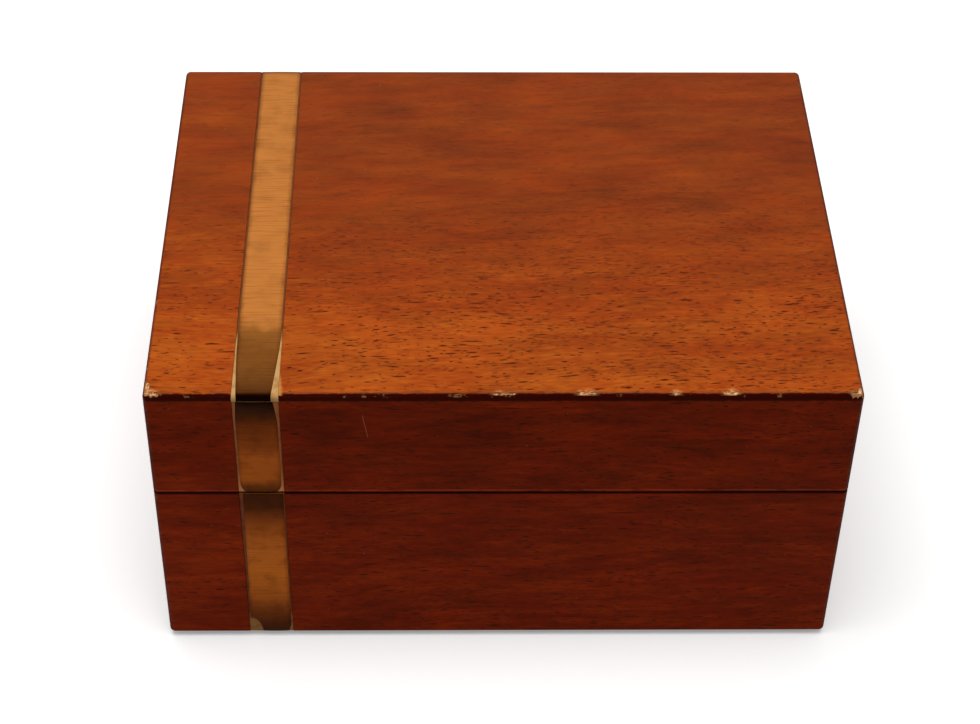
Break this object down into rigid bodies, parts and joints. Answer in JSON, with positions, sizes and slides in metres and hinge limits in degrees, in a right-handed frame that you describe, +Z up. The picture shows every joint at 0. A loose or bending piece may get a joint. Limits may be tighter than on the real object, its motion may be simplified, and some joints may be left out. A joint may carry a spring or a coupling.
{
  "type": "puzzle box",
  "caption": "Veneered wooden box with a hinged lid, a flush brass band inlaid near its left end, a fabric lining and a hidden pin lock in the front wall.",
  "frame": {"origin": "bottom centre of the closed box, on the felt's underside", "axes": "+X to the right along the front, +Y to the back where the hinges are, +Z up"},
  "size_m": [0.13, 0.1, 0.066],
  "materials": {
    "mahogany": "satin lacquered red-brown veneer",
    "plywood": "bare",
    "hardwood": "bare",
    "brass_band": "polished with fine scratches",
    "brass_hardware": "satin",
    "steel": "ground",
    "lining": "dark green velvet on card",
    "felt": "dark green felt"
  },
  "bodies": {
    "base": {"base_front_wall": "mahogany", "base_back_wall": "mahogany", "base_left_wall": "mahogany", "base_right_wall": "mahogany", "bottom_panel": "plywood", "base_front_band": "brass_band", "base_back_band": "brass_band", "base_felt": "felt", "base_pad": "lining", "base_front_lining": "lining", "base_back_lining": "lining", "base_left_lining": "lining", "base_right_lining": "lining", "left_hinge_base_leaf": "brass_hardware", "left_hinge_base_screw_1": "brass_hardware", "left_hinge_base_screw_2": "brass_hardware", "left_hinge_pin": "brass_hardware", "right_hinge_base_leaf": "brass_hardware", "right_hinge_base_screw_1": "brass_hardware", "right_hinge_base_screw_2": "brass_hardware", "right_hinge_pin": "brass_hardware", "lock_dowel_left": "hardwood", "lock_dowel_right": "hardwood"},
    "lid": {"lid_top_panel": "mahogany", "lid_front_wall": "mahogany", "lid_back_wall": "mahogany", "lid_left_wall": "mahogany", "lid_right_wall": "mahogany", "lid_top_band": "brass_band", "lid_front_band": "brass_band", "lid_back_band": "brass_band", "lid_pad": "lining", "lid_front_lining": "lining", "lid_back_lining": "lining", "lid_left_lining": "lining", "lid_right_lining": "lining", "left_hinge_lid_leaf": "brass_hardware", "left_hinge_lid_screw_1": "brass_hardware", "left_hinge_lid_screw_2": "brass_hardware", "right_hinge_lid_leaf": "brass_hardware", "right_hinge_lid_screw_1": "brass_hardware", "right_hinge_lid_screw_2": "brass_hardware", "lock_tongue": "brass_hardware", "lock_tongue_screw_1": "brass_hardware", "lock_tongue_screw_2": "brass_hardware"},
    "left_lock_pin": {"lock_pin_left": "steel"},
    "right_lock_pin": {"lock_pin_right": "steel"}
  },
  "joints": [
    {"name": "lid_hinge", "type": "hinge", "parent": "base", "child": "lid", "pos_m": [0, 0.048, 0.041], "axis": [-1, 0, 0], "range_deg": [0, 95]},
    {"name": "left_lock_pin_slide", "type": "slide", "parent": "base", "child": "left_lock_pin", "axis": [1, 0, 0], "range_m": [0, 0.007]},
    {"name": "right_lock_pin_slide", "type": "slide", "parent": "base", "child": "right_lock_pin", "axis": [-1, 0, 0], "range_m": [0, 0.007]}
  ]
}
